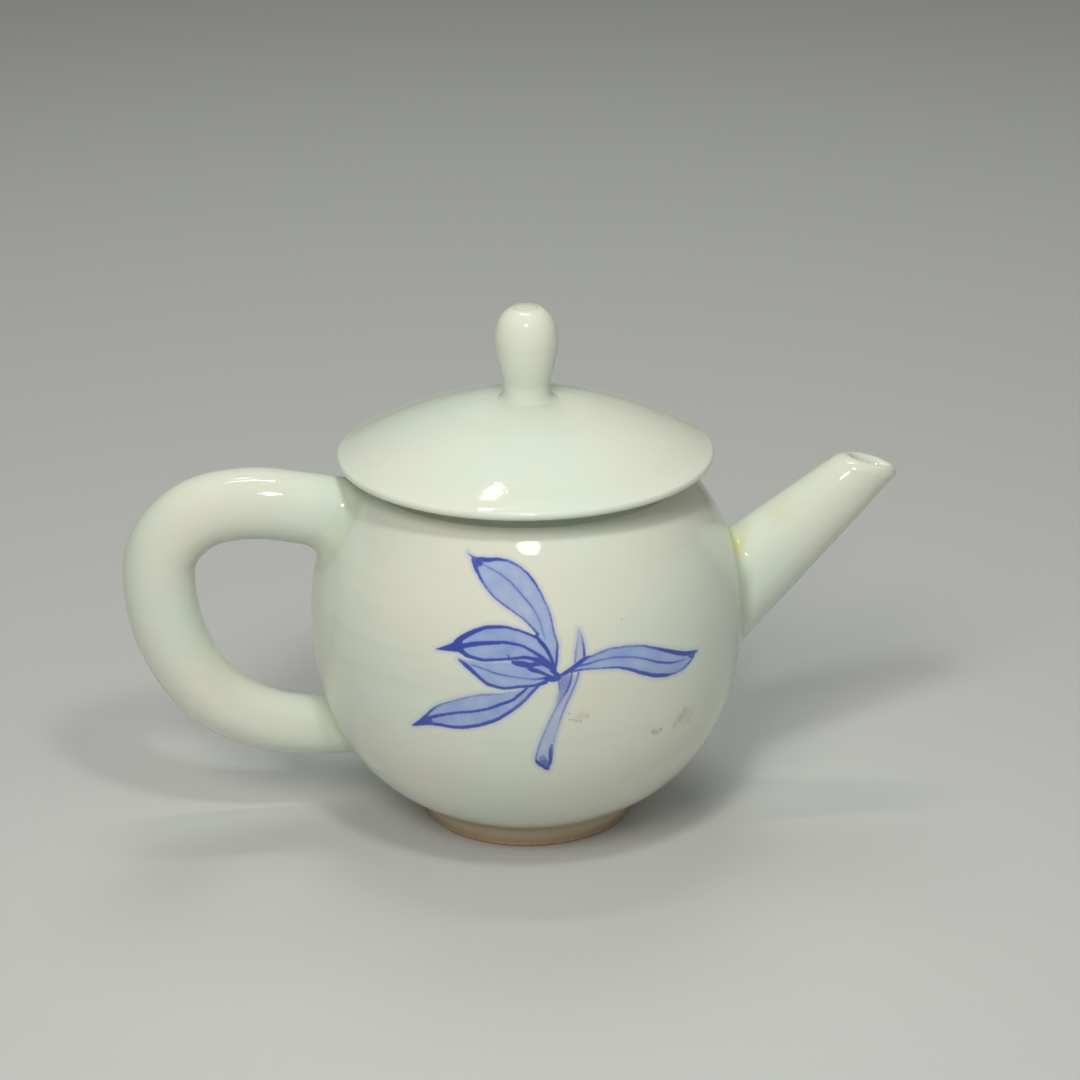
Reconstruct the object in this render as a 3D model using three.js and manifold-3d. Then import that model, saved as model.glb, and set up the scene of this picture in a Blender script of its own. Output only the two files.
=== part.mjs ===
// A small porcelain teapot with a lift-off lid, in millimetres, +Z up.
// The spout points along +X and the handle along -X. The origin is on the table, midway between
// the back of the handle and the tip of the spout. The pieces are the ones that a potter makes
// one by one and lutes together.
import * as THREE from "three";
import { mergeVertices } from "three/addons/utils/BufferGeometryUtils.js";
import Module from "manifold-3d";

const wasm = await Module();
wasm.setup();

// Driving dimensions, measured from the pot's own upright axis
const bellyRadius = 45.7;
const bellyHeight = 46.8; // of the widest part, above the table
const wall = 3;
const seam = 0.3; // between pieces that are luted together, or that rest on each other

// Foot ring
const footHeight = 4.9;
const footRadius = 22.6; // where it stands
const footFlare = 0.8; // how much wider the ring is at the top
const footWidth = 3.6;
const footRound = 0.7;

// Belly, as two halves of a superellipse that meet at the widest part
const footSeat = footRadius + footFlare; // radius at which the belly meets the foot ring
const lowerPower = 2.45;
const lowerDepth =
  (bellyHeight - footHeight) /
  (1 - (footSeat / bellyRadius) ** lowerPower) ** (1 / lowerPower);
const upperDepth = 43;
const upperPower = 2;
const floorThickness = 3.6;
const floorRadius = 24; // where the inside of the floor turns up into the wall

// Neck and mouth
const neckRadius = 31.4;
const neckCove = 2; // radius of the hollow where the belly turns up into the neck
const shoulderRadius = neckRadius + neckCove;
const innerNeck = neckRadius - wall;
const innerShoulder = innerNeck + 1; // where the inside turns up into the neck
const lipHeight = 81.6;

// Lid
const lidRadius = 39.2;
const lidRimHeight = 80.5; // of the middle of the rounded edge
const lidRimRound = 0.9;
const lidRise = 11.2; // from the rim up to the middle of the dome
const domePower = 1.84;
const lidThickness = 2.8;
const seatHeight = lipHeight + seam;
const seatRadius = 32.2; // outer edge of the flat seat under the lid
const hollowRadius = 23.8; // edge of the curved underside inside the seat
const hollowStep = 0.8; // width of the slope from that underside to the seat
const flangeRadius = 27.2;
const flangeThickness = 2.4;
const flangeDepth = 6;

// Knob: a stem, as radius and height above the lid, that widens up to a rounded crown
const knobStem = [
  [4.9, 0],
  [4.85, 2.5],
  [5.8, 6.2],
];
const knobRadius = 6.65;
const knobWidest = 11; // height of the widest part
const knobCrown = 8.4; // from the widest part up to where the crown would close
const crownPower = 2.4;
const knobFacet = 2.9; // radius of the flat that cuts the crown
const knobAside = 0.4; // the knob stands this far off the lid's middle, towards the spout

// Spout: a straight tapered tube
const spoutTilt = THREE.MathUtils.degToRad(41);
const spoutTip = new THREE.Vector3(73.6, 0, 74.1); // middle of the open end
const spoutTipRadius = 5.8;
const spoutTaper = 0.112; // radius gained for each millimetre down the tube
const spoutLength = 46;
const spoutWall = 1.6;
const mouthTilt = THREE.MathUtils.degToRad(23); // of the open end, down towards the front
const strainerHole = 1.5;
const strainerRing = 5.2;
const strainerHeight = 49.3;
const strainerHoles = 6; // around one in the middle
const strainerReach = 15; // length of the cut, which only has to pass the wall

// Handle: the middle of the tube from the shoulder round to the lower wall, as x and z
const handleLine = [
  [-27, 66.3],
  [-46, 70.3],
  [-57.5, 72],
  [-68.6, 70],
  [-75.9, 62.4],
  [-76.6, 51],
  [-73.2, 39],
  [-66.3, 28.9],
  [-56, 22.9],
  [-45, 20.8],
  [-33, 20.8],
];
const handleRadius = 7.5;
const handleEndRadius = 6; // at the lower end
const handleTaperStart = 0.55; // part of the length that keeps the full radius

// The spout reaches less far than the handle, so the axis stands this far along +X.
const axisX = 2.6;

// Facets
const roundSteps = 60;
const knobSteps = 32;
const tubeSides = 24;
const handleSteps = 36;
const bellySteps = 8;
const domeSteps = 9;
const hollowSteps = 6;
const overhangSteps = 4;
const holeSides = 12;
const stemSteps = 7;
const crownSteps = 7;

const glazeColour = 0xdfe2d6;
const bareColour = 0xcbb9a4;

function glaze(colour, roughness) {
  return new THREE.MeshStandardMaterial({ color: colour, roughness, metalness: 0 });
}

// The solid that manifold-3d cuts and joins, from a closed three.js geometry.
function solidOf(geometry) {
  const bare = geometry.clone();
  bare.deleteAttribute("normal");
  bare.deleteAttribute("uv");
  const merged = mergeVertices(bare, 1e-4);
  const mesh = new wasm.Mesh({
    numProp: 3,
    vertProperties: merged.attributes.position.array,
    triVerts: new Uint32Array(merged.index.array),
  });
  return new wasm.Manifold(mesh);
}

// The geometry of a cut or joined solid.
function geometryOf(solid) {
  const mesh = solid.getMesh();
  const geometry = new THREE.BufferGeometry();
  geometry.setAttribute("position", new THREE.BufferAttribute(mesh.vertProperties, 3));
  geometry.setIndex(new THREE.BufferAttribute(mesh.triVerts, 1));
  return geometry;
}

// A solid of revolution around the Z axis, from a profile of radius and height.
// The profile runs counterclockwise: up on the outside and down on the inside.
function turn(profile, steps = roundSteps) {
  const geometry = new THREE.LatheGeometry(profile, steps);
  return geometry.rotateX(Math.PI / 2);
}

function point(radius, height) {
  return new THREE.Vector2(radius, height);
}

// Points on a quarter or half round in a profile, with angles in degrees from the outward side.
function round(radius, height, size, from, to, steps) {
  const points = [];
  for (let i = 0; i <= steps; i += 1) {
    const angle = THREE.MathUtils.degToRad(from + ((to - from) * i) / steps);
    points.push(point(radius + size * Math.cos(angle), height + size * Math.sin(angle)));
  }
  return points;
}

// Height of the belly's surface at a radius, on its lower (-1) or upper (+1) half.
// A positive offset moves the surface outwards, and a negative one makes the inside of the wall.
function bellyZ(radius, side, offset) {
  const power = side < 0 ? lowerPower : upperPower;
  const depth = (side < 0 ? lowerDepth : upperDepth) + offset;
  const share = Math.min(1, radius / (bellyRadius + offset));
  return bellyHeight + side * depth * (1 - share ** power) ** (1 / power);
}

// Points on the belly from one radius on its lower half round to another on its upper half.
function bellyProfile(lowRadius, highRadius, offset) {
  const widest = bellyRadius + offset;
  const points = [];
  for (let i = 0; i <= bellySteps; i += 1) {
    const from = Math.asin(lowRadius / widest);
    const radius = widest * Math.sin(from + ((Math.PI / 2 - from) * i) / bellySteps);
    points.push(point(radius, bellyZ(radius, -1, offset)));
  }
  for (let i = 1; i <= bellySteps; i += 1) {
    const to = Math.asin(highRadius / widest);
    const radius = widest * Math.sin(Math.PI / 2 + ((to - Math.PI / 2) * i) / bellySteps);
    points.push(point(radius, bellyZ(radius, 1, offset)));
  }
  return points;
}

// Everything inside the belly's outer surface, and a seam's width more, so that the spout and
// the handle can be cut to sit on the wall.
function bellyEnvelope() {
  const profile = [
    point(0, bellyZ(footSeat, -1, seam)),
    ...bellyProfile(footSeat, shoulderRadius, seam),
    point(0, bellyZ(shoulderRadius, 1, seam)),
  ];
  return solidOf(turn(profile));
}

function footRing() {
  const inner = footRadius - footWidth;
  const top = footHeight - seam;
  const profile = [
    ...round(inner + footRound, footRound, footRound, 180, 270, 2),
    ...round(footRadius - footRound, footRound, footRound, 270, 360, 2),
    point(footSeat, top),
    point(inner, top),
  ];
  profile.push(profile[0].clone());
  return turn(profile);
}

// The thrown pot: belly, short neck and rounded lip, with the strainer pierced behind the spout.
function potBody() {
  const floor = footHeight + floorThickness;
  const lipRound = wall / 2;
  const outside = bellyProfile(footSeat, shoulderRadius, 0);
  const neckStart = bellyZ(shoulderRadius, 1, 0) + neckCove;
  const inside = bellyProfile(floorRadius, innerShoulder, -wall).reverse();
  const profile = [
    point(0, footHeight),
    ...outside,
    ...round(shoulderRadius, neckStart, neckCove, 270, 180, 2).slice(1),
    ...round(neckRadius - lipRound, lipHeight - lipRound, lipRound, 0, 180, 5),
    point(innerNeck, neckStart),
    ...inside,
    point(0, floor),
  ];
  let solid = solidOf(turn(profile));
  for (const [across, up] of strainerPlaces()) {
    const hole = new THREE.CylinderGeometry(
      strainerHole,
      strainerHole,
      strainerReach,
      holeSides,
    );
    hole.rotateZ(Math.PI / 2);
    hole.translate(bellyRadius - wall / 2, across, up);
    solid = solid.subtract(solidOf(hole));
  }
  return geometryOf(solid);
}

// The strainer's holes, as sideways place and height.
function strainerPlaces() {
  const places = [[0, strainerHeight]];
  for (let i = 0; i < strainerHoles; i += 1) {
    const angle = (2 * Math.PI * i) / strainerHoles;
    const across = strainerRing * Math.cos(angle);
    places.push([across, strainerHeight + strainerRing * Math.sin(angle)]);
  }
  return places;
}

// A tapered solid along the spout's line. It starts beyond the tip and ends inside the belly.
function spoutCone(inset) {
  const beyond = 8;
  const narrow = spoutTipRadius - inset - spoutTaper * beyond;
  const wide = spoutTipRadius - inset + spoutTaper * spoutLength;
  const length = spoutLength + beyond;
  const cone = new THREE.CylinderGeometry(narrow, wide, length, tubeSides);
  cone.translate(0, beyond - length / 2, 0);
  cone.rotateX(Math.PI / 2);
  cone.rotateY(Math.PI / 2 - spoutTilt);
  cone.translate(spoutTip.x, spoutTip.y, spoutTip.z);
  return solidOf(cone);
}

function spout() {
  const size = 60;
  const cutter = new THREE.BoxGeometry(size, size, size);
  cutter.translate(0, 0, size / 2);
  cutter.rotateY(mouthTilt);
  cutter.translate(spoutTip.x, spoutTip.y, spoutTip.z);
  const outside = spoutCone(0).subtract(bellyEnvelope());
  return geometryOf(outside.subtract(spoutCone(spoutWall)).subtract(solidOf(cutter)));
}

// The handle: a tapered bar bent along its line and cut to sit on the belly.
function handle() {
  const curve = new THREE.CatmullRomCurve3(
    handleLine.map(([x, z]) => new THREE.Vector3(x, 0, z)),
    false,
    "centripetal",
  );
  const bar = new THREE.CylinderGeometry(1, 1, 1, tubeSides, handleSteps);
  const place = bar.attributes.position;
  for (let i = 0; i < place.count; i += 1) {
    const along = 0.5 - place.getY(i);
    const middle = curve.getPointAt(along);
    const run = curve.getTangentAt(along);
    const late = Math.max(0, (along - handleTaperStart) / (1 - handleTaperStart));
    const radius = handleRadius + (handleEndRadius - handleRadius) * late;
    const across = place.getX(i) * radius;
    const sideways = place.getZ(i) * radius;
    place.setXYZ(i, middle.x + across * run.z, sideways, middle.z - across * run.x);
  }
  return geometryOf(solidOf(bar).subtract(bellyEnvelope()));
}

// Height of the lid's upper surface.
function domeZ(radius) {
  const edge = lidRadius - lidRimRound;
  const rim = lidRimHeight + lidRimRound;
  return rim + lidRise * (1 - (radius / edge) ** domePower);
}

// The lid: a thin dome with a rounded edge, and a flat seat under it for the pot's lip.
function lid() {
  const edge = lidRadius - lidRimRound;
  const rimBottom = lidRimHeight - lidRimRound;
  const profile = [];
  for (let i = 0; i <= hollowSteps; i += 1) {
    const radius = (hollowRadius * i) / hollowSteps;
    profile.push(point(radius, domeZ(radius) - lidThickness));
  }
  profile.push(point(hollowRadius + hollowStep, seatHeight));
  profile.push(point(seatRadius, seatHeight));
  for (let i = 1; i < overhangSteps; i += 1) {
    const radius = seatRadius + ((edge - seatRadius) * i) / overhangSteps;
    profile.push(point(radius, Math.max(rimBottom, domeZ(radius) - lidThickness)));
  }
  // The rolled edge, from its lowest point round to the dome
  profile.push(...round(edge, lidRimHeight, lidRimRound, 270, 420, 4));
  for (let i = domeSteps - 1; i >= 0; i -= 1) {
    const radius = (edge * i) / domeSteps;
    profile.push(point(radius, domeZ(radius)));
  }
  return turn(profile);
}

// The collar under the lid, which keeps it centred in the mouth.
function lidFlange() {
  const top = seatHeight - seam;
  const bottom = top - flangeDepth;
  const half = flangeThickness / 2;
  const profile = [
    ...round(flangeRadius - half, bottom + half, half, 180, 360, 4),
    point(flangeRadius, top),
    point(flangeRadius - flangeThickness, top),
  ];
  profile.push(profile[0].clone());
  return turn(profile);
}

// The knob, with the flat that a potter leaves on its crown.
function lidKnob() {
  const base = domeZ(0) + seam;
  const stem = new THREE.SplineCurve(
    [...knobStem, [knobRadius, knobWidest]].map(([radius, up]) => point(radius, base + up)),
  );
  const profile = [point(0, base), ...stem.getPoints(stemSteps)];
  for (let i = 1; i <= crownSteps; i += 1) {
    const share = Math.cos((Math.PI / 2) * (i / crownSteps));
    const radius = knobFacet + (knobRadius - knobFacet) * share;
    const rise = knobCrown * (1 - (radius / knobRadius) ** crownPower) ** (1 / crownPower);
    profile.push(point(radius, base + knobWidest + rise));
  }
  profile.push(point(0, profile.at(-1).y));
  return turn(profile, knobSteps).translate(knobAside, 0, 0);
}

const group = new THREE.Group();
const pot = new THREE.Group();
pot.position.x = axisX;
group.add(pot);
const glazed = glaze(glazeColour, 0.12);

function add(name, geometry, material) {
  const mesh = new THREE.Mesh(geometry, material);
  mesh.name = name;
  pot.add(mesh);
}

add("pot_body", potBody(), glazed);
add("foot_ring", footRing(), glaze(bareColour, 0.5));
add("spout", spout(), glazed);
add("handle", handle(), glazed);
add("lid", lid(), glazed);
add("lid_flange", lidFlange(), glazed);
add("lid_knob", lidKnob(), glazed);

export default group;
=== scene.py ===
"""A small hand-painted porcelain teapot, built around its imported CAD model.

Shapes are worked out in millimetres from the pot's own upright axis, and made_piece() turns them
into metres in the shared frame. The painting is laid out in the same millimetres on the unrolled
belly: "around" runs to the right from the middle of the front, and "up" follows the wall.
"""
import math

import bmesh
import bpy
import numpy as np
from mathutils import Matrix, Vector


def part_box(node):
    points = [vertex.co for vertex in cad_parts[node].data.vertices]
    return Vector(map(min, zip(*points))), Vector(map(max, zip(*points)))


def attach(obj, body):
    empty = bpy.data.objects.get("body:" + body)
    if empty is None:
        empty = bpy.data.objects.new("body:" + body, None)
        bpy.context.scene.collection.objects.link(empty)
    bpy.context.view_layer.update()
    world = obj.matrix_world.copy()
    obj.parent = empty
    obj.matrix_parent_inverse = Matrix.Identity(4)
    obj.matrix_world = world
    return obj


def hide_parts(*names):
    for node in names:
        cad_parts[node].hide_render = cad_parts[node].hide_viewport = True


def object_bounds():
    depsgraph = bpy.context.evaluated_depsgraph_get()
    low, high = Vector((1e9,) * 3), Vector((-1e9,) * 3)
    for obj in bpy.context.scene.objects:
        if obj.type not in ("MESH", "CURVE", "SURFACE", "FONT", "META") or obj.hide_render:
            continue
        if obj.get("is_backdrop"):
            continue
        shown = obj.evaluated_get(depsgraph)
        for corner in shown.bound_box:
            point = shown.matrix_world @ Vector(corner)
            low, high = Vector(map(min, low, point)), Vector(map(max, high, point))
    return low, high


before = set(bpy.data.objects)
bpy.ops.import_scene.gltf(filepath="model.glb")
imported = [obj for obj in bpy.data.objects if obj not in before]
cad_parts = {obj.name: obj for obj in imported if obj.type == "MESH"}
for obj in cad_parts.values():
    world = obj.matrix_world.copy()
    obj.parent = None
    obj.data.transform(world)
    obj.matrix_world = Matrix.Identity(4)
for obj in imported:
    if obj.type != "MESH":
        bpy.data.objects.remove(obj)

cad_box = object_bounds()

MM = 0.001


def measured(node):
    """Radius round the pot's axis, lowest and highest point of a CAD node, in millimetres."""
    low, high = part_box(node)
    return (high.y - low.y) / 2 / MM, low.z / MM, high.z / MM


BODY_LOW, BODY_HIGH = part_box("pot_body")
AXIS_X = (BODY_LOW.x + BODY_HIGH.x) / 2 / MM
BELLY_RADIUS, FOOT_HEIGHT, LIP_HEIGHT = measured("pot_body")
FOOT_SEAT, FLOOR, _ = measured("foot_ring")
LID_RADIUS, LID_LOW, LID_TOP = measured("lid")
FLANGE_RADIUS, FLANGE_LOW, FLANGE_TOP = measured("lid_flange")
KNOB_RADIUS, KNOB_BASE, KNOB_TOP = measured("lid_knob")
KNOB_LOW, KNOB_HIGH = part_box("lid_knob")
KNOB_ASIDE = (KNOB_LOW.x + KNOB_HIGH.x) / 2 / MM - AXIS_X

# Pot
BELLY_HEIGHT = 46.8
WALL = 3.0
FLOOR_THICKNESS = 3.6
FLOOR_FLAT = 13.0  # radius of the flat middle of the floor inside
FLOOR_CORNER = 19.0
FLOOR_CURVE = 24.0  # where the floor has curved up into the belly
LOWER_POWER = 2.45
LOWER_DEPTH = (BELLY_HEIGHT - FOOT_HEIGHT) / (
    1 - (FOOT_SEAT / BELLY_RADIUS) ** LOWER_POWER
) ** (1 / LOWER_POWER)
UPPER_DEPTH = 43.0
NECK_RADIUS = 31.4
NECK_COVE = 2.0
SHOULDER_RADIUS = NECK_RADIUS + NECK_COVE
INNER_SHOULDER = NECK_RADIUS - WALL + 2.5
FOOT_WIDTH = 3.6
FOOT_FLARE = 0.8
FOOT_INSET = 0.1
FOOT_BULGE = 0.7  # how far below the belly the foot is widest
FOOT_ROUNDING = 0.75
TUCK = 0.4  # how far the foot goes on up inside the belly
GAP = 0.3  # between the lid and its flange in the CAD

# Lid
LID_RIM = 0.9
LID_EDGE = LID_RADIUS - LID_RIM
LID_RIM_HEIGHT = LID_LOW + LID_RIM
LID_RISE = LID_TOP - LID_RIM_HEIGHT - LID_RIM
DOME_POWER = 1.84
LID_THICKNESS = 2.8
LID_ROUNDING = 0.5
SEAT_RADIUS = 32.2
HOLLOW_RADIUS = 23.8
HOLLOW_STEP = 0.8
EDGE_ZONE = 34.0  # the lid's surface is finer outside this radius
FLANGE_THICKNESS = 2.4
KNOB_SPREAD = 6.6  # radius of the clay that joins the knob to the lid
KNOB_SUNK = 0.06
KNOB_ROOT = 0.6
KNOB_STEM = [(4.88, 1.0), (4.85, 2.5), (5.8, 6.2)]
KNOB_WIDEST = 11.0
CROWN_RISE = 8.4
CROWN_POWER = 2.4
KNOB_FACET = 2.9
KNOB_CAP = 0.25
KNOB_LINE = 0.2  # width of the fine line round the facet
KNOB_LINE_DEPTH = 0.08
JOINT_POOL = 0.3  # share of gathered glaze round the knob's root
LINE_POOL = 1.6

# Spout
SPOUT_TILT = math.radians(41)
SPOUT_TIP = np.array([73.6, 0.0, 74.1])
SPOUT_TIP_RADIUS = 5.8
SPOUT_TAPER = 0.112
TIP_DRAWN_IN = 0.19  # how much slimmer than a plain cone the spout is near its tip
DRAWN_PLACE = 5.4  # where that begins, down from the tip
DRAWN_LENGTH = 1.5
LIP_SLANT = 0.7
LIP_ARCH = 0.6  # how far the sides of the lip stand out past its cut
SPOUT_WALL = 1.6
SPOUT_LIP = 3.5
LIP_SWELL = 0.35  # how much thicker the lip is above than at its sides
LIP_ROUNDING = 1.7
LIP_FORWARD = 0.3
BORE_FLARE = 6  # the higher, the closer to the mouth the bore widens
SPOUT_LENGTH = 46.0
SPOUT_OUTSIDE = 12.0  # a place along it that is well clear of the pot
SPOUT_LUTING = 1.3  # how far the joint's clay reaches along the spout
SPOUT_LUTING_SIDES = 2.4  # how much further it reaches at the sides
MOUTH_TILT = math.radians(23)
MOUTH_LEAN = 0.07  # how far the cut of the mouth leans over, away from the painted side
STRAINER_HOLE = 1.5
STRAINER_RING = 5.2
STRAINER_HEIGHT = 49.3

# Handle, as the x and z of its middle line from the shoulder round to the lower wall
HANDLE_LINE = [
    (-27, 66.3), (-46, 70.3), (-57.5, 72), (-68.6, 70), (-75.9, 62.4), (-76.6, 51),
    (-73.2, 39), (-66.3, 28.9), (-56, 22.9), (-45, 20.8), (-33, 20.8),
]
HANDLE_RADIUS = 7.5
HANDLE_END_RADIUS = 6.0
HANDLE_TAPER_START = 0.55
HANDLE_LUTING = 2.0  # how far the joint's clay reaches along the handle
HANDLE_LUTING_INSIDE = 4.0  # how much further it reaches inside the loop
CAP_DEPTH = 1.6  # how deep in the wall the handle's ends close
SINKING = [(1.8, 0.6), (1.0, 0.14), (0.5, 0.03), (0.2, 0.0)]  # reach and depth of a joint's edge
LUTING_LIFT = 0.01

# Fineness of the surfaces
ROUND_STEPS = 224
TUBE_SIDES = 96
CURVE_STEPS = 40
SPOUT_STEPS = 60
HANDLE_STEPS = 180
LIP_STEPS = 16
LUTING_STEPS = 10
HALVINGS = 40
SHARP_TURN = math.radians(20)
CORNER_SHARE = 0.45  # the most of a side that a rounded corner takes

SIDES = np.linspace(0, 2 * math.pi, TUBE_SIDES, endpoint=False)
UNEVEN = 1 + 0.07 * np.sin(5 * SIDES + 0.6) + 0.04 * np.sin(9 * SIDES)


def colour(red, green, blue):
    """A linear colour from the 0 to 255 values of a screen colour."""
    parts = []
    for value in (red, green, blue):
        share = value / 255
        parts.append(share / 12.92 if share < 0.04045 else ((share + 0.055) / 1.055) ** 2.4)
    return (*parts, 1.0)


# ---------------- shapes


def through(points, steps):
    """Points on a smooth curve through the given ones, with steps between each two of them."""
    points = np.array(points, float)
    ends = (2 * points[0] - points[1], 2 * points[-1] - points[-2])
    held = np.vstack([ends[0], points, ends[1]])
    found = []
    for i in range(len(points) - 1):
        p = held[i : i + 4]
        gaps = np.sqrt(np.linalg.norm(np.diff(p, axis=0), axis=1))
        knots = np.concatenate([[0], np.cumsum(gaps)])
        t = np.linspace(knots[1], knots[2], steps, endpoint=False)[:, None]
        level = list(p)
        for depth in (1, 2, 3):
            level = [mixed(level[j], level[j + 1], knots, j, depth, t) for j in range(4 - depth)]
        found.append(level[0])
    found.append(points[-1:])
    return np.vstack(found)


def mixed(first, second, knots, j, depth, t):
    """One step of the pyramid that through() climbs."""
    low, high = (j, j + depth)
    if depth == 3:
        low, high = (1, 2)
    return ((knots[high] - t) * first + (t - knots[low]) * second) / (knots[high] - knots[low])


def arc(radius, height, size, start, end, steps=8):
    """Points round part of a circle in a profile, with angles in degrees from the outward side."""
    angles = np.radians(np.linspace(start, end, steps + 1))
    return [(radius + size * math.cos(a), height + size * math.sin(a)) for a in angles]


def bend(first, corner, last, steps=8):
    """Points on the curve from first to last that leaves and arrives along the corner's sides."""
    first, corner, last = (np.array(p, float) for p in (first, corner, last))
    found = []
    for t in np.linspace(0, 1, steps + 1):
        found.append((1 - t) ** 2 * first + 2 * t * (1 - t) * corner + t * t * last)
    return found


def belly_z(radius, side, offset=0.0):
    """Height of the belly's surface at a radius, on its lower (-1) or upper (+1) half."""
    power = LOWER_POWER if side < 0 else 2
    depth = (LOWER_DEPTH if side < 0 else UPPER_DEPTH) + offset
    share = min(1.0, radius / (BELLY_RADIUS + offset))
    return BELLY_HEIGHT + side * depth * (1 - share**power) ** (1 / power)


def wall_radius(z, offset=0.0):
    """Radius of the pot's outer surface at the given heights, up to the top of the neck."""
    z = np.asarray(z, float)
    under = np.clip((BELLY_HEIGHT - z) / (LOWER_DEPTH + offset), 0, 1)
    over = np.clip((z - BELLY_HEIGHT) / (UPPER_DEPTH + offset), 0, 1)
    belly = (1 - under**LOWER_POWER) ** (1 / LOWER_POWER) * (1 - over**2) ** 0.5
    found = (BELLY_RADIUS + offset) * belly
    cove_top = belly_z(SHOULDER_RADIUS, 1) + NECK_COVE
    drop = np.clip((cove_top - z) / NECK_COVE, 0, 1)
    neck = NECK_RADIUS + offset + NECK_COVE * (1 - np.sqrt(1 - drop**2))
    return np.where(z > cove_top - NECK_COVE, np.minimum(neck, found + NECK_COVE), found)


def belly_curve(low_radius, high_radius, offset, steps=CURVE_STEPS):
    """The belly's profile from one radius on its lower half to another on its upper half."""
    widest = BELLY_RADIUS + offset
    found = []
    for angle in np.linspace(math.asin(low_radius / widest), math.pi / 2, steps):
        radius = widest * math.sin(angle)
        found.append((radius, belly_z(radius, -1, offset)))
    for angle in np.linspace(math.pi / 2, math.asin(high_radius / widest), steps)[1:]:
        radius = widest * math.sin(angle)
        found.append((radius, belly_z(radius, 1, offset)))
    return found


def softened(profile, size):
    """The profile with each sharp corner rounded off, as glaze does."""
    points = [np.array(p, float) for p in profile]
    found = [points[0]]
    for before, here, after in zip(points, points[1:], points[2:]):
        back = before - here
        on = after - here
        back_length = np.linalg.norm(back)
        on_length = np.linalg.norm(on)
        turn = math.acos(max(-1, min(1, -float(back @ on) / (back_length * on_length))))
        if turn < SHARP_TURN:
            found.append(here)
            continue
        start = here + back / back_length * min(size, CORNER_SHARE * back_length)
        end = here + on / on_length * min(size, CORNER_SHARE * on_length)
        found.extend(bend(start, here, end, 6))
    found.append(points[-1])
    return found


def turned(profile, closed=False):
    """A solid of revolution, as vertices and faces, from a profile of radius and height.
    A profile that isn't closed starts and ends on the axis. Faces come profile step by step."""
    angles = np.linspace(0, 2 * math.pi, ROUND_STEPS, endpoint=False)
    around = np.stack([np.sin(angles), -np.cos(angles)], axis=1)
    vertices = []
    rings = []
    for radius, height in profile:
        start = len(vertices)
        if radius < 1e-6:
            vertices.append((0.0, 0.0, height))
            rings.append([start] * ROUND_STEPS)
            continue
        vertices.extend((radius * x, radius * y, height) for x, y in around)
        rings.append(list(range(start, start + ROUND_STEPS)))
    if closed:
        rings.append(rings[0])
    return np.array(vertices), joined(rings)


def joined(rings):
    """The faces between rings of vertex numbers that each go once round."""
    faces = []
    for one, two in zip(rings, rings[1:]):
        for i in range(len(one)):
            after = (i + 1) % len(one)
            corners = [one[i], one[after], two[after], two[i]]
            faces.append(list(dict.fromkeys(corners)))
    return faces


def skinned(rings, closed=False, caps=()):
    """A tube through rings of points. Closed joins the last ring to the first, and caps close
    the first and the last ring on a point each."""
    sides = len(rings[0])
    vertices = np.vstack(rings)
    numbers = [list(range(i * sides, (i + 1) * sides)) for i in range(len(rings))]
    if closed:
        numbers.append(numbers[0])
    if len(caps):
        vertices = np.vstack([vertices, caps])
        last = len(vertices) - 1
        numbers = [[last - 1] * sides, *numbers, [last] * sides]
    return vertices, joined(numbers)


def in_scene(name, data):
    """A new object in the scene."""
    made = bpy.data.objects.new(name, data)
    bpy.context.scene.collection.objects.link(made)
    return made


def made_piece(name, shape, node, body, materials, choose=None, pool=None):
    """A smooth object from vertices in millimetres and faces, in place of a CAD node.
    choose picks the number of the material for a face's middle and its order among the faces.
    pool is each vertex's share of gathered glaze."""
    vertices, faces = shape
    mesh = bpy.data.meshes.new(name)
    placed = (vertices + np.array([AXIS_X, 0, 0])) * MM
    mesh.from_pydata(placed.tolist(), [], faces)
    for material in materials:
        mesh.materials.append(material)
    if choose:
        for number, face in enumerate(faces):
            middle = vertices[face].mean(axis=0)
            mesh.polygons[number].material_index = choose(middle, number)
    work = bmesh.new()
    work.from_mesh(mesh)
    bmesh.ops.recalc_face_normals(work, faces=work.faces)
    work.to_mesh(mesh)
    work.free()
    mesh.shade_smooth()
    if pool is not None:
        share = mesh.attributes.new("pool", "FLOAT", "POINT")
        share.data.foreach_set("value", np.asarray(pool, np.float32))
    piece = in_scene(name, mesh)
    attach(piece, body)
    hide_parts(node)
    return piece


# ---------------- pieces

PAINT_SIDES = (-33.0, 37.0)
PAINT_HEIGHTS = (25.0, 76.0)


def pot_profile():
    """The pot's profile: out along the bottom, up the belly and neck, and down the inside.
    Also gives the number of its points that are on the outside."""
    lip = WALL / 2
    neck_start = belly_z(SHOULDER_RADIUS, 1) + NECK_COVE
    inner_neck = NECK_RADIUS - WALL
    floor = FOOT_HEIGHT + FLOOR_THICKNESS
    outside = [(0, FOOT_HEIGHT), (FOOT_SEAT - FOOT_WIDTH, FOOT_HEIGHT)]
    outside += belly_curve(FOOT_SEAT, SHOULDER_RADIUS, 0)
    outside += arc(SHOULDER_RADIUS, neck_start, NECK_COVE, 270, 180)[1:]
    outside += arc(NECK_RADIUS - lip, LIP_HEIGHT - lip, lip, 0, 90)
    inside = arc(NECK_RADIUS - lip, LIP_HEIGHT - lip, lip, 90, 180)[1:]
    inside += bend(
        (inner_neck, neck_start),
        (inner_neck, neck_start - NECK_COVE),
        (INNER_SHOULDER, belly_z(INNER_SHOULDER, 1, -WALL)),
    )
    inside += belly_curve(FLOOR_CURVE, INNER_SHOULDER, -WALL)[-2::-1]
    curve_start = inside.pop()
    inside += bend(curve_start, (FLOOR_CORNER, floor), (FLOOR_FLAT, floor))
    inside.append((0, floor))
    return outside + inside, len(outside)


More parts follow.
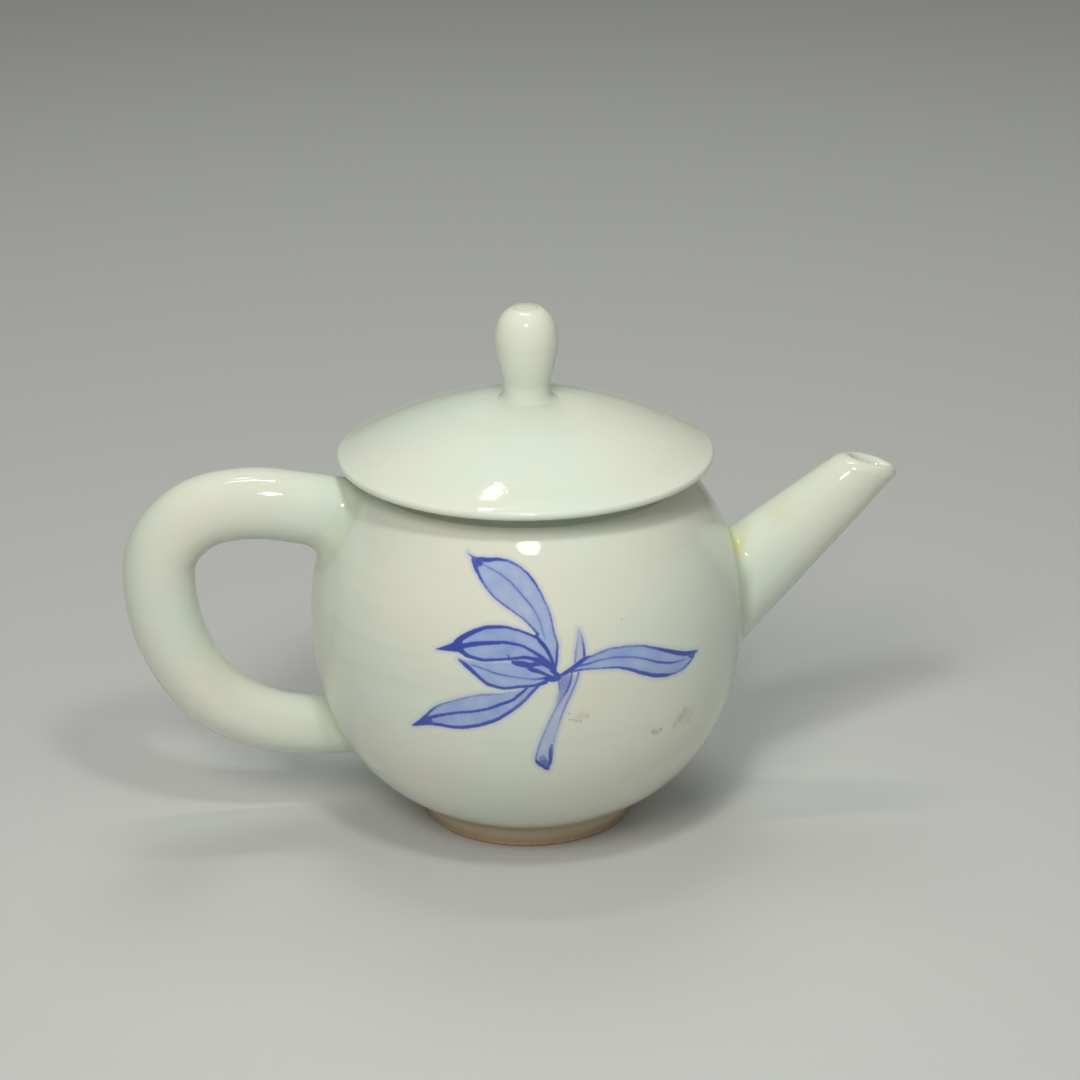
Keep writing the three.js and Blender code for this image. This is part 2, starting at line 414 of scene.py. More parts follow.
def pierced(piece):
    """Cuts the strainer's holes through the wall behind the spout."""
    places = [(0.0, STRAINER_HEIGHT)]
    for i in range(6):
        angle = i * math.pi / 3
        across = STRAINER_RING * math.cos(angle)
        places.append((across, STRAINER_HEIGHT + STRAINER_RING * math.sin(angle)))
    work = bmesh.new()
    for across, up in places:
        middle = ((AXIS_X + BELLY_RADIUS - WALL / 2) * MM, across * MM, up * MM)
        turn = Matrix.Rotation(math.pi / 2, 4, "Y")
        bmesh.ops.create_cone(
            work,
            cap_ends=True,
            segments=32,
            radius1=STRAINER_HOLE * MM,
            radius2=STRAINER_HOLE * MM,
            depth=5 * WALL * MM,
            matrix=Matrix.Translation(middle) @ turn,
        )
    mesh = bpy.data.meshes.new("strainer_cut")
    work.to_mesh(mesh)
    work.free()
    cutter = in_scene("strainer_cut", mesh)
    cut = piece.modifiers.new("strainer", "BOOLEAN")
    cut.object = cutter
    cut.solver = "EXACT"
    with bpy.context.temp_override(object=piece, active_object=piece):
        bpy.ops.object.modifier_apply(modifier=cut.name)
    bpy.data.objects.remove(cutter)
    bpy.data.meshes.remove(mesh)
    piece.data.shade_smooth()
    piece.data.set_sharp_from_angle(angle=math.radians(40))


def pot_body(painted, plain):
    """The thrown pot, painted on its front only, with the strainer pierced in its wall."""
    profile, outside = pot_profile()

    def choose(middle, number):
        if number >= (outside - 1) * ROUND_STEPS:
            return 1
        around = math.atan2(middle[0], -middle[1]) * BELLY_RADIUS
        in_width = PAINT_SIDES[0] < around < PAINT_SIDES[1]
        in_height = PAINT_HEIGHTS[0] < middle[2] < PAINT_HEIGHTS[1]
        return 0 if in_width and in_height else 1

    glazes = [painted, plain]
    piece = made_piece("thrown_pot", turned(profile), "pot_body", "pot", glazes, choose=choose)
    pierced(piece)


def foot_ring(material):
    """The ring that the pot stands on, with a worn edge. Its top is tucked under the belly."""
    inner = FOOT_SEAT - FOOT_FLARE - FOOT_WIDTH
    outer = FOOT_SEAT - FOOT_FLARE
    tucked = FOOT_HEIGHT + TUCK
    profile = [(inner, tucked), (inner, FLOOR), (outer, FLOOR)]
    profile += [(FOOT_SEAT - FOOT_INSET, FOOT_HEIGHT - FOOT_BULGE), (outer, tucked)]
    rounded = softened([profile[-1], *profile, profile[0]], FOOT_ROUNDING)[1:-1]
    shape = turned(rounded, closed=True)
    made_piece("turned_foot", shape, "foot_ring", "pot", [material])


def seated(point, outward, reach, depth):
    """The place on the pot's wall a short way from a point on it, sunk by a depth."""
    x, y, z = point.T
    step = 0.1
    slope = (wall_radius(z + step) - wall_radius(z - step)) / (2 * step)
    radius = np.hypot(x, y)
    normal = np.stack([x / radius, y / radius, -slope], axis=1)
    normal /= np.linalg.norm(normal, axis=1)[:, None]
    aside = outward - (outward * normal).sum(axis=1)[:, None] * normal
    aside /= np.linalg.norm(aside, axis=1)[:, None]
    moved = point + aside * reach[:, None]
    x, y, z = moved.T
    stretch = (wall_radius(z) - depth) / np.hypot(x, y)
    return np.stack([x * stretch, y * stretch, z], axis=1)


def crossing(line, inside, outside, offset=0.0):
    """Where each of a tube's long lines passes through the pot's wall, by halving."""
    inside = np.full(TUBE_SIDES, float(inside))
    outside = np.full(TUBE_SIDES, float(outside))
    for _ in range(HALVINGS):
        middle = (inside + outside) / 2
        x, y, z = line(middle).T
        is_in = np.hypot(x, y) < wall_radius(z, offset)
        inside = np.where(is_in, middle, inside)
        outside = np.where(is_in, outside, middle)
    return outside


def luted(line, place, step, outward, reach):
    """The rings of the clay that joins a tube to the wall, from under the glaze up to the tube.
    step is how much of the line's own measure there is in a millimetre."""
    root = line(place)
    clear = line(place + step * reach)
    foot = seated(root, outward, reach, -LUTING_LIFT)
    rings = [seated(root, outward, reach + further, depth) for further, depth in SINKING]
    for t in np.linspace(0, 1, LUTING_STEPS + 1):
        rings.append((1 - t) ** 2 * foot + 2 * t * (1 - t) * root + t * t * clear)
    return rings


def gathered_in(rings, *spans):
    """Each vertex's share of gathered glaze, full in the middle of each span of rings."""
    share = np.zeros(len(rings))
    for first, last in spans:
        for number in range(first, last + 1):
            share[number] = math.sin(math.pi * (number - first + 0.5) / (last - first + 1))
    return np.repeat(share, TUBE_SIDES)


def spout_lines():
    """The long lines of the spout, by millimetres down from the tip's middle and the depth under
    its surface. Also where the slanted mouth cuts them, half the lip's thickness there, and the
    directions out from the spout and along it."""
    along = np.array([math.cos(SPOUT_TILT), 0, math.sin(SPOUT_TILT)])
    upward = np.array([-along[2], 0, along[0]])
    outward = np.cos(SIDES)[:, None] * upward + np.sin(SIDES)[:, None] * np.array([0, 1, 0])

    def line(down, depth=0.0):
        drawn = TIP_DRAWN_IN * (1 - np.tanh((down - DRAWN_PLACE) / DRAWN_LENGTH)) / 2
        radius = SPOUT_TIP_RADIUS - depth + SPOUT_TAPER * down - drawn
        return SPOUT_TIP - down[:, None] * along + radius[:, None] * outward

    cut = np.array([math.sin(MOUTH_TILT), MOUTH_LEAN, math.cos(MOUTH_TILT)])
    tilt = outward @ cut
    half = SPOUT_LIP / 2 * (1 + LIP_SWELL * np.cos(SIDES))
    mouth = (SPOUT_TIP_RADIUS - half) * tilt / (along @ cut - SPOUT_TAPER * tilt)
    return line, mouth, half, outward, along


def spout(material):
    """A tapered tube with a slanted, thick and rounded lip, luted over the strainer."""
    line, mouth, half, outward, along = spout_lines()
    long = LIP_ROUNDING * half
    slant = LIP_SLANT * np.cos(SIDES) - LIP_ARCH * np.sin(SIDES) ** 2
    lip = mouth + long - LIP_FORWARD + slant
    reach = (SPOUT_LUTING + SPOUT_LUTING_SIDES * np.sin(SIDES) ** 2) * UNEVEN
    root = crossing(line, SPOUT_LENGTH, SPOUT_OUTSIDE)
    rings = luted(line, root, -1, outward, reach)
    pool_end = len(rings) - 1
    for t in np.linspace(0, 1, SPOUT_STEPS)[1:]:
        rings.append(line((root - reach) * (1 - t) + lip * t))
    for angle in np.linspace(0, math.pi, LIP_STEPS + 1)[1:]:
        turn = math.cos(angle) * half[:, None] * outward + math.sin(angle) * long[:, None] * along
        rings.append(line(lip, half) + turn)
    end = crossing(lambda down: line(down, SPOUT_WALL), SPOUT_LENGTH, SPOUT_OUTSIDE, -WALL / 2)
    for t in np.linspace(0, 1, CURVE_STEPS)[1:]:
        depth = SPOUT_WALL + (2 * half - SPOUT_WALL) * (1 - t) ** BORE_FLARE
        rings.append(line(lip * (1 - t) + end * t, depth))
    pool = gathered_in(rings, (2, pool_end))
    made_piece("luted_spout", skinned(rings, closed=True), "spout", "pot", [material], pool=pool)


def handle_lines():
    """The long lines of the handle's surface, by the share of its length."""
    path = through([(x, 0, z) for x, z in HANDLE_LINE], CURVE_STEPS)
    steps = np.linalg.norm(np.diff(path, axis=0), axis=1)
    length = steps.sum()
    shares = np.concatenate([[0], np.cumsum(steps)]) / length

    def place(share):
        return np.stack([np.interp(share, shares, path[:, k]) for k in range(3)], axis=1)

    def line(share):
        step = 0.004
        run = place(np.clip(share + step, 0, 1)) - place(np.clip(share - step, 0, 1))
        run /= np.linalg.norm(run, axis=1)[:, None]
        upward = np.stack([run[:, 2], 0 * share, -run[:, 0]], axis=1)
        late = np.clip((share - HANDLE_TAPER_START) / (1 - HANDLE_TAPER_START), 0, 1)
        radius = HANDLE_RADIUS + (HANDLE_END_RADIUS - HANDLE_RADIUS) * late
        across = np.cos(SIDES)[:, None] * upward
        across[:, 1] += np.sin(SIDES)
        return place(share) + radius[:, None] * across

    return line, length


def handle(material):
    """A thick bar bent to a loop, luted to the shoulder and to the lower wall."""
    line, length = handle_lines()
    inner_side = (1 - np.cos(SIDES)) / 2
    top_reach = (HANDLE_LUTING + HANDLE_LUTING_INSIDE * inner_side) * UNEVEN
    low_reach = HANDLE_LUTING * UNEVEN
    top = crossing(line, 0, 0.5)
    low = crossing(line, 1, 0.5)
    middle_top = line(np.full(TUBE_SIDES, top.mean())).mean(axis=0)
    middle_low = line(np.full(TUBE_SIDES, low.mean())).mean(axis=0)
    rings = luted(line, top, 1 / length, line(top) - middle_top, top_reach)
    joint = len(rings) - 1
    start = top + top_reach / length
    end = low - low_reach / length
    for t in np.linspace(0, 1, HANDLE_STEPS)[1:-1]:
        rings.append(line(start * (1 - t) + end * t))
    rings.extend(reversed(luted(line, low, -1 / length, line(low) - middle_low, low_reach)))
    last = len(rings) - 1
    pool = gathered_in(rings, (2, joint), (last - joint, last - 2))
    caps = [sunk(ring.mean(axis=0)) for ring in (rings[0], rings[-1])]
    pool = np.concatenate([pool, np.zeros(len(caps))])
    made_piece("luted_handle", skinned(rings, caps=caps), "handle", "pot", [material], pool=pool)


def sunk(point):
    """The place at a point's height that is just inside the clay of the wall."""
    x, y, z = point
    stretch = (float(wall_radius(z)) - CAP_DEPTH) / math.hypot(x, y)
    return (x * stretch, y * stretch, z)


def dome_z(radius):
    """Height of the lid's upper surface."""
    return LID_RIM_HEIGHT + LID_RIM + LID_RISE * (1 - (radius / LID_EDGE) ** DOME_POWER)


def lid(material):
    """A thin dome with a rolled edge, and a flat seat under it for the pot's lip."""
    seat = FLANGE_TOP + GAP
    profile = [(r, dome_z(r) - LID_THICKNESS) for r in np.linspace(0, HOLLOW_RADIUS, 24)]
    profile += [(HOLLOW_RADIUS + HOLLOW_STEP, seat), (SEAT_RADIUS, seat)]
    for radius in np.linspace(SEAT_RADIUS, LID_EDGE, 8)[1:-1]:
        profile.append((radius, max(LID_LOW, dome_z(radius) - LID_THICKNESS)))
    profile += arc(LID_EDGE, LID_RIM_HEIGHT, LID_RIM, 270, 420, 16)
    edge = np.linspace(LID_EDGE - LID_ROUNDING, EDGE_ZONE, 22)
    middle = np.linspace(EDGE_ZONE - 1, 0, CURVE_STEPS)
    profile += [(radius, dome_z(radius)) for radius in (*edge, *middle)]
    made_piece("thrown_lid", turned(softened(profile, LID_ROUNDING)), "lid", "lid", [material])


def lid_flange(material):
    """The collar under the lid that keeps it centred in the mouth."""
    half = FLANGE_THICKNESS / 2
    top = FLANGE_TOP + 2 * GAP
    inner = FLANGE_RADIUS - FLANGE_THICKNESS
    profile = arc(FLANGE_RADIUS - half, FLANGE_LOW + half, half, 180, 360, 20)
    profile += [(FLANGE_RADIUS, top), (inner, top)]
    shape = turned(profile, closed=True)
    made_piece("lid_collar", shape, "lid_flange", "lid", [material])


def lid_knob(material):
    """An egg-shaped knob, luted to the lid, with a fine line round the flat on its crown."""
    low = dome_z(KNOB_SPREAD) - KNOB_SUNK
    steps = 12
    widest = [(KNOB_RADIUS, KNOB_WIDEST), (KNOB_RADIUS, KNOB_WIDEST + 2)]
    stem = [(radius, KNOB_BASE + up) for radius, up in KNOB_STEM + widest]
    sides = [tuple(p) for p in through(stem, steps)[:-steps]]
    joint = bend((KNOB_SPREAD, low), (stem[0][0] + 0.02, dome_z(5)), sides[4])
    profile = [(0, low - 0.8), (KNOB_SPREAD + KNOB_ROOT, low - KNOB_ROOT)] + joint + sides[5:]
    for angle in np.linspace(0, math.pi / 2, 30)[1:]:
        radius = KNOB_FACET + (KNOB_RADIUS - KNOB_FACET) * math.cos(angle)
        share = (1 - (radius / KNOB_RADIUS) ** CROWN_POWER) ** (1 / CROWN_POWER)
        profile.append((radius, KNOB_BASE + KNOB_WIDEST + (CROWN_RISE - KNOB_CAP) * share))
    line = len(profile)
    profile.append((KNOB_FACET - KNOB_LINE, KNOB_TOP - KNOB_CAP - KNOB_LINE_DEPTH))
    for radius in (KNOB_FACET - 2 * KNOB_LINE, KNOB_FACET * 0.7, KNOB_FACET * 0.4, 0):
        profile.append((radius, KNOB_TOP - KNOB_CAP * (radius / KNOB_FACET) ** 2))
    vertices, faces = turned(profile)
    pool = np.zeros(len(vertices))
    pool[1 + ROUND_STEPS : 1 + 7 * ROUND_STEPS] = JOINT_POOL
    pool[1 + line * ROUND_STEPS : 1 + (line + 1) * ROUND_STEPS] = LINE_POOL
    shape = (vertices + np.array([KNOB_ASIDE, 0, 0]), faces)
    made_piece("luted_knob", shape, "lid_knob", "lid", [material], pool=pool)


# ---------------- materials

GLAZE_COOL = colour(214, 223, 211)
GLAZE_WARM = colour(221, 222, 208)
GLAZE_DEEP = colour(184, 196, 160)
POOL_YELLOW = colour(206, 203, 132)
STAIN = colour(150, 128, 78)
WASH = colour(122, 156, 223)
WASH_DEEP = colour(100, 138, 216)
HALO = colour(146, 160, 222)
LINE_THIN = colour(80, 98, 180)
LINE_DARK = colour(54, 72, 167)
GLAZE = {
    "Roughness": 0.07,
    "IOR": 1.52,
    "Subsurface Weight": 0.12,
    "Subsurface Radius": (1.0, 0.9, 0.7),
    "Subsurface Scale": 0.002,
}
POOL_DEPTH = 0.35  # how much the gathered glaze deepens the colour
# Yellowed places, as the middle, the size and the strength of each
YELLOWED = [((42, -6.5, 60.5), 5.5, 0.95), ((43, -3, 63.5), 5.5, 0.7), ((53, -4, 66.5), 6.0, 0.2)]


def feed(tree, node, inputs):
    """Puts values, or other nodes' outputs, on a node's inputs."""
    for name, value in inputs.items():
        if isinstance(value, bpy.types.NodeSocket):
            tree.links.new(value, node.inputs[name])
        else:
            node.inputs[name].default_value = value


def added(tree, kind, settings=None, inputs=None):
    """A new node, with its settings and what goes on its inputs."""
    node = tree.nodes.new("ShaderNode" + kind)
    for name, value in (settings or {}).items():
        setattr(node, name, value)
    feed(tree, node, inputs or {})
    return node


def new_material(name):
    """A material with its node tree and its surface shader."""
    material = bpy.data.materials.new(name)
    material.use_nodes = True
    tree = material.node_tree
    return material, tree, tree.nodes["Principled BSDF"]


def maths(tree, operation, *values, clamp=False):
    """The output of one Math node."""
    settings = {"operation": operation, "use_clamp": clamp}
    return added(tree, "Math", settings, dict(enumerate(values))).outputs[0]


def vector_maths(tree, operation, vector, numbers):
    """The node that works on a vector socket and three fixed numbers."""
    return added(tree, "VectorMath", {"operation": operation}, {0: vector, 1: numbers})


def dotted(tree, vector, numbers):
    """The product of a vector socket and three fixed numbers."""
    return vector_maths(tree, "DOT_PRODUCT", vector, numbers).outputs["Value"]


def distance(tree, vector, place):
    """How far a vector socket is from a fixed place."""
    return vector_maths(tree, "DISTANCE", vector, place).outputs["Value"]


def faded(tree, value, low, high, to_low=0.0, to_high=1.0):
    """A smooth step from to_low at low up to to_high at high."""
    settings = {"interpolation_type": "SMOOTHSTEP"}
    inputs = dict(enumerate((value, low, high, to_low, to_high)))
    return added(tree, "MapRange", settings, inputs).outputs["Result"]


def blended(tree, share, first, second):
    """Two colours mixed by a share."""
    inputs = {"Factor": share, 6: first, 7: second}
    return added(tree, "Mix", {"data_type": "RGBA"}, inputs).outputs[2]


def place_in_mm(tree):
    """The surface point in millimetres from the pot's axis, moving with its piece."""
    where = added(tree, "TexCoord").outputs["Object"]
    settings = {"vector_type": "POINT"}
    inputs = {"Vector": where, "Scale": (1 / MM,) * 3, "Location": (-AXIS_X, 0, 0)}
    return added(tree, "Mapping", settings, inputs).outputs["Vector"]


def noise(tree, where, scale, detail=2.0, stretch=None):
    """A noise value from 0 to 1. Scale is in features per millimetre."""
    if stretch:
        where = vector_maths(tree, "MULTIPLY", where, stretch).outputs[0]
    inputs = {"Vector": where, "Scale": scale, "Detail": detail}
    return added(tree, "TexNoise", None, inputs).outputs["Fac"]


def glaze_colour(tree, where):
    """The glaze: greenish white, drifting to cream, with very faint rings from the wheel."""
    drift = faded(tree, noise(tree, where, 0.03, 3.0), 0.35, 0.65)
    base = blended(tree, drift, GLAZE_COOL, GLAZE_WARM)
    rings = faded(tree, noise(tree, where, 0.35, 3.0, (0.03, 0.03, 1)), 0.5, 0.8, 0.0, 0.1)
    return blended(tree, rings, base, GLAZE_DEEP)


def glaze_bump(tree, where):
    """The unevenness of fired glaze: fine orange peel over slow waves and throwing rings."""
    peel = noise(tree, where, 1.1, 2.0)
    waves = noise(tree, where, 0.16, 1.0)
    rings = noise(tree, where, 0.3, 2.0, (0.02, 0.02, 1))
    height = maths(tree, "MULTIPLY_ADD", waves, 5.0, peel)
    height = maths(tree, "MULTIPLY_ADD", rings, 4.0, height)
    inputs = {"Height": height, "Strength": 1.0, "Distance": 0.000018}
    return added(tree, "Bump", None, inputs).outputs["Normal"]


def porcelain(name, paint=None):
    """Glazed porcelain. paint(tree, where, base) gives the decorated colour."""
    material, tree, shader = new_material(name)
    where = place_in_mm(tree)
    base = glaze_colour(tree, where)
    if paint:
        base = paint(tree, where, base)
    feed(tree, shader, {"Base Color": base, "Normal": glaze_bump(tree, where), **GLAZE})
    return material


def gathered(tree, _, base):
    """Thick glaze in the luted joints is a little deeper in colour."""
    share = added(tree, "Attribute", {"attribute_name": "pool"}).outputs["Fac"]
    share = maths(tree, "MULTIPLY", share, POOL_DEPTH)
    return blended(tree, share, base, GLAZE_DEEP)


def yellowed(tree, where, base):
    """Glaze has run and yellowed above the spout's root, and fades along the spout."""
    base = gathered(tree, where, base)
    ragged = noise(tree, where, 0.35)
    for place, size, strength in YELLOWED:
        away = maths(tree, "MULTIPLY_ADD", ragged, 0.5 * size, distance(tree, where, place))
        share = faded(tree, away, 0.3 * size, 1.3 * size, strength, 0.0)
        base = blended(tree, share, base, POOL_YELLOW)
    return base


def foot_material():
    """The foot: thin warm glaze on its side, and bare, worn clay where it stands."""
    material, tree, shader = new_material("foot_clay")
    where = place_in_mm(tree)
    height = dotted(tree, where, (0, 0, 1))
    ragged = maths(tree, "MULTIPLY_ADD", noise(tree, where, 0.5, 3.0), 0.9, height)
    glazed = faded(tree, ragged, 1.1, 1.6)
    grit = faded(tree, noise(tree, where, 2.5, 4.0), 0.35, 0.7)
    clay = blended(tree, grit, colour(178, 148, 118), colour(208, 188, 160))
    rim = faded(tree, ragged, 1.5, 3.6)
    glaze = blended(tree, rim, colour(188, 154, 126), colour(200, 184, 158))
    bumps = {"Height": noise(tree, where, 3.0, 4.0), "Strength": 0.6, "Distance": 0.00004}
    inputs = {"Base Color": blended(tree, glazed, clay, glaze)}
    inputs["Roughness"] = faded(tree, glazed, 0.0, 1.0, 0.75, 0.12)
    inputs["Normal"] = added(tree, "Bump", None, bumps).outputs["Normal"]
    feed(tree, shader, inputs)
    return material


# ---------------- painting
# A leaf is the strength of its wash, the outlines to the left and the right of that, seen from
# their first points, and the strokes over it. Outlines are lists of (around, up), and strokes
# of (around, up, width, strength).

THIN_SPREAD = 0.6  # how much wider a line gets as it gets paler
THIN_DEPTH = 1.1  # how much stronger than stated the lines are drawn
LINE_EDGE = (-0.18, 0.32)  # where a line's colour starts and is full, inward from its edge
WASH_EDGE = (-0.4, 0.4)
HALO_EDGE = (-1.1, 0.0)

UPPER_LEAF = (
    0.62,
    [(-19.7, 74.3), (-17, 73.4), (-13, 73.4), (-9.5, 73.2), (-6.5, 71.7), (-4, 69.4), (-2, 65.9),
     (0.1, 59), (0.3, 51.2)],
    [(-19.7, 74.2), (-18.2, 73.1), (-16.6, 70.6), (-14.4, 67.6), (-11.6, 65.2), (-8.4, 63.1),
     (-5.4, 60.9), (-2, 56.4), (-0.7, 53.8), (0, 51.2)],
    [(-19.9, 74.4, 0.25, 0.25), (-18.4, 73.6, 0.5, 0.5), (-16.6, 73.3, 0.8, 0.6),
     (-14.6, 73.2, 0.9, 0.7), (-10.6, 73.3, 0.55, 0.6), (-8.6, 72.8, 0.55, 0.45), (-6, 71.3, 0.5, 0.5),
     (-4.2, 69.6, 0.55, 0.6), (-2.8, 67.5, 0.5, 0.5)],
    [(-2.9, 67.7, 0.5, 0.5), (-1.7, 65.3, 0.45, 0.45), (-0.2, 60.9, 0.45, 0.45),
     (0.15, 58.6, 0.45, 0.45), (0.65, 56.6, 0.5, 0.5), (0.65, 54.9, 0.55, 0.55), (0.15, 51, 0.6, 0.8)],
    [(-18.5, 73.6, 0.4, 0.4), (-17.6, 72.2, 1.0, 0.6), (-16.6, 70.5, 0.7, 0.6),
     (-13.4, 66.7, 0.45, 0.45), (-11.4, 65.1, 0.45, 0.45), (-7.2, 62.3, 0.45, 0.45),
     (-5.3, 60.8, 0.45, 0.45), (-3.1, 57.9, 0.6, 0.6)],
    [(-18.3, 73.2, 0.6, 0.45), (-17.3, 72.7, 1.4, 0.6), (-16.3, 72.3, 1.2, 0.55),
     (-15.5, 72.2, 0.4, 0.35)],
    [(-15.8, 72.3, 0.3, 0.25), (-14, 71.6, 0.4, 0.35), (-10, 69.6, 0.45, 0.4), (-8.2, 68.2, 0.45, 0.4),
     (-4.9, 64.7, 0.45, 0.4), (-3.7, 63, 0.4, 0.35), (-2.2, 59, 0.4, 0.3), (-1.7, 57, 0.3, 0.25)],
)
MIDDLE_LEAF = (
    0.72,
    [(-23.9, 54), (-20, 56.1), (-17, 58.2), (-14, 59.5), (-10.5, 59.8), (-4, 58), (-2, 56.1),
     (0.2, 50.4)],
    [(-23.9, 54), (-20, 53.9), (-14, 52.9), (-10, 53), (-3, 50.6), (0.2, 49.6)],
    [(-24.1, 54, 0.2, 0.8), (-20.8, 54.8, 1.6, 0.9), (-19.3, 55.3, 2.1, 0.85), (-18.3, 55.7, 1.0, 0.6)],
    [(-20.4, 55.7, 0.8, 0.8), (-18.6, 57.1, 1.15, 0.9), (-17, 58.1, 1.05, 0.9), (-15, 59.1, 0.85, 0.8),
     (-12.8, 59.7, 0.75, 0.75), (-8, 59.4, 0.55, 0.65), (-6, 58.8, 0.5, 0.65), (-3, 57.5, 0.7, 0.9)],
    [(-3.7, 58.4, 0.4, 0.6), (-2.9, 57.2, 0.8, 0.95), (-1.1, 54.5, 0.75, 0.85), (-0.5, 53, 0.7, 0.85),
     (0.2, 50, 0.8, 0.9)],
    [(-19.8, 55, 0.9, 0.85), (-18, 55.5, 1.05, 0.85), (-16, 56, 0.95, 0.8), (-11, 56.6, 0.75, 0.75),
     (-9, 56.6, 0.65, 0.7), (-7, 56.2, 0.6, 0.7), (-5.2, 55.4, 0.6, 0.7), (-3.6, 54.4, 0.7, 0.7),
     (-0.8, 51.9, 0.9, 0.85), (0.1, 50.7, 0.9, 0.9)],
    [(-19.6, 54.8, 1.0, 0.85), (-18.2, 54, 1.0, 0.85), (-16.8, 53.3, 0.8, 0.85),
     (-15, 52.95, 0.75, 0.85), (-13, 52.95, 0.7, 0.9), (-9, 53.3, 0.6, 0.85), (-7, 53.5, 0.7, 0.95),
     (-5, 53.5, 0.8, 1), (-2, 52.3, 1.3, 1), (-0.8, 51.5, 1.1, 0.95), (0, 50.7, 0.7, 0.9)],
    [(-9.4, 54.3, 0.2, 0.5), (-8.9, 53.4, 0.6, 0.8)],
    [(-8.6, 52.7, 0.5, 0.7), (-7.4, 52.4, 1.1, 0.95), (-6, 52.2, 1.3, 0.9), (-4.8, 51.9, 1.2, 0.85),
     (-3.6, 52.3, 1.0, 0.7), (-2.4, 52.2, 0.8, 0.8)],
    [(-5.2, 51.4, 0.7, 0.8), (-4.1, 50.9, 0.95, 0.85), (-2.9, 50.5, 0.8, 0.8), (-1.7, 49.9, 0.7, 0.85),
     (-0.5, 49.1, 0.9, 0.9)],
    [(-0.7, 50.9, 0.7, 0.85), (0.1, 50.2, 1.0, 0.9), (0.8, 49.4, 0.9, 0.85)],
)
THIRD_LEAF = (
    0.68,
    [(-19.2, 52.6), (-12, 52.4), (-8, 52.4), (-4, 51.7), (-1.5, 50.8), (0.6, 49)],
    [(-19.2, 52.4), (-15.8, 49.8), (-14, 48.3), (-12, 47.3), (-7, 47.3), (-4, 47.6), (-1.5, 48.5),
     (0.6, 49)],
    [(-19.5, 52.7, 0.2, 0.3), (-18.4, 51.9, 0.7, 0.6), (-17.3, 51.1, 0.9, 0.8),
     (-15.2, 49.3, 0.75, 0.75), (-14, 48.3, 0.7, 0.75), (-12.6, 47.5, 0.7, 0.75),
     (-11, 47.1, 0.65, 0.75), (-9.2, 47.05, 0.65, 0.75), (-7.4, 47.3, 0.65, 0.75), (-4, 47.6, 0.6, 0.8),
     (-2.6, 48, 0.8, 0.85), (-1.2, 48.6, 1.0, 0.95)],
    [(-16.7, 51.7, 0.35, 0.35), (-13, 50.6, 0.45, 0.45), (-11, 50, 0.45, 0.45), (-5, 49.05, 0.4, 0.4),
     (-3, 49.05, 0.5, 0.5), (-1.4, 49.2, 0.7, 0.8)],
    [(-2.2, 49.1, 0.6, 0.85), (-0.2, 48.9, 1.4, 1), (0.7, 48.9, 0.9, 0.9), (1.4, 49.2, 0.5, 0.7)],
)
LOW_LEAF = (
    0.68,
    [(-29.9, 36), (-27, 38.6), (-24, 41.3), (-20, 43.5), (-16, 44.9), (-9, 46), (-6, 47), (-3, 47.7)],
    [(-29.9, 36), (-27, 37), (-23, 37.4), (-19, 37.5), (-15, 38.5), (-11, 40.3), (-8, 42.6), (-3, 47.6)],
    [(-30.1, 35.9, 0.25, 0.6), (-28.8, 36.6, 0.9, 0.8), (-26.2, 38.1, 1.5, 0.7),
     (-25.2, 38.5, 0.7, 0.5)],
    [(-27.6, 38, 0.6, 0.7), (-26.2, 39.3, 0.6, 0.6), (-24.6, 41, 0.5, 0.5), (-22.6, 42.3, 0.45, 0.4),
     (-20.2, 43.4, 0.4, 0.35), (-12.4, 45.5, 0.4, 0.35), (-10.4, 45.7, 0.35, 0.3),
     (-8.4, 46.3, 0.3, 0.2)],
    [(-27, 38.1, 0.7, 0.75), (-25, 39, 0.75, 0.75), (-22.6, 39.9, 0.65, 0.75), (-15, 41.8, 0.6, 0.75),
     (-12.8, 42.5, 0.65, 0.8), (-10.8, 43.4, 0.7, 0.85), (-9, 44.1, 0.65, 0.8), (-7.6, 45.1, 0.65, 0.8),
     (-5.3, 47.3, 0.5, 0.8)],
    [(-28.6, 36.5, 0.5, 0.7), (-26.8, 37.1, 0.75, 0.8), (-24.6, 37.4, 0.75, 0.8),
     (-19.6, 37.5, 0.75, 0.75), (-17, 38, 0.75, 0.75), (-12.4, 39.6, 0.75, 0.8),
     (-10.4, 40.8, 0.7, 0.75), (-7, 43.4, 0.65, 0.6), (-4.3, 46.3, 0.6, 0.6), (-3, 47.7, 0.6, 0.75)],
)
